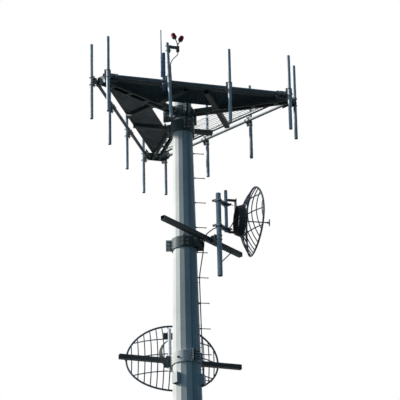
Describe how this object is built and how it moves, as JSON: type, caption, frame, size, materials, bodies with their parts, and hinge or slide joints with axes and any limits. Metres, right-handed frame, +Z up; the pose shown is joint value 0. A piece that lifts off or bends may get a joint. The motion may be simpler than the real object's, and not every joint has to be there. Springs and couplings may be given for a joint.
{
  "type": "cell tower",
  "caption": "Tapered many-sided steel monopole with a three-sided antenna platform at its head, red beacon lamps, a whip antenna, step pegs and grid dishes on clamped beams lower down.",
  "frame": {"origin": "centre of the base flange's underside, on the pole's axis", "axes": "+Z up the pole, -Y towards the platform's front side"},
  "size_m": [4.677, 4.0918, 28.715],
  "materials": {
    "pole_steel": "weathered matt",
    "galvanised_plate": "weathered matt",
    "galvanised_bar": "weathered matt",
    "galvanised_tube": "weathered satin",
    "platform_steel": "weathered matt",
    "grating_steel": "weathered matt",
    "light_housing": "satin",
    "red_lens": "gloss",
    "conduit": "matt",
    "whip_plastic": "matt",
    "dish_wire": "satin",
    "hoop_steel": "matt",
    "feed_metal": "satin",
    "cable_jacket": "matt"
  },
  "bodies": {
    "root": {"base_flange": "galvanised_plate", "lower_shaft": "pole_steel", "middle_shaft": "pole_steel", "upper_shaft": "pole_steel", "shaft_cap": "galvanised_plate", "port_hoods": "galvanised_plate", "step_pegs_side": "galvanised_bar", "step_pegs_rear": "galvanised_bar", "head_clamp_upper": "galvanised_plate", "head_clamp_lower": "galvanised_plate", "arms": "platform_steel", "cross_members": "platform_steel", "corner_plates": "galvanised_plate", "face_pipes": "galvanised_tube", "inner_rails": "platform_steel", "grating_front": "grating_steel", "gratings_side": "grating_steel", "mount_pipes_front": "galvanised_tube", "mount_pipes_right": "galvanised_tube", "mount_pipes_left": "galvanised_tube", "clamp_plates": "galvanised_plate", "light_bracket": "galvanised_plate", "light_box": "light_housing", "light_domes": "red_lens", "light_conduit": "conduit", "whip_pipe": "galvanised_tube", "whip_antenna": "whip_plastic", "middle_clamp": "galvanised_plate", "middle_beam": "platform_steel", "dish_mast": "galvanised_tube", "mast_saddle": "galvanised_plate", "middle_dish_pipe": "galvanised_tube", "pipe_links": "galvanised_plate", "mast_strut": "galvanised_bar", "middle_dish_grid": "dish_wire", "middle_dish_hoop": "hoop_steel", "middle_hoop_arms": "galvanised_plate", "middle_dish_feed": "feed_metal", "lower_clamp": "galvanised_plate", "lower_beam": "platform_steel", "lower_saddle": "galvanised_plate", "lower_dish_pipe": "galvanised_tube", "lower_dish_grid": "dish_wire", "lower_dish_hoop": "hoop_steel", "lower_hoop_arms": "galvanised_plate", "lower_dish_feed": "feed_metal", "lower_braces": "galvanised_bar", "coax_run": "cable_jacket"}
  },
  "joints": []
}
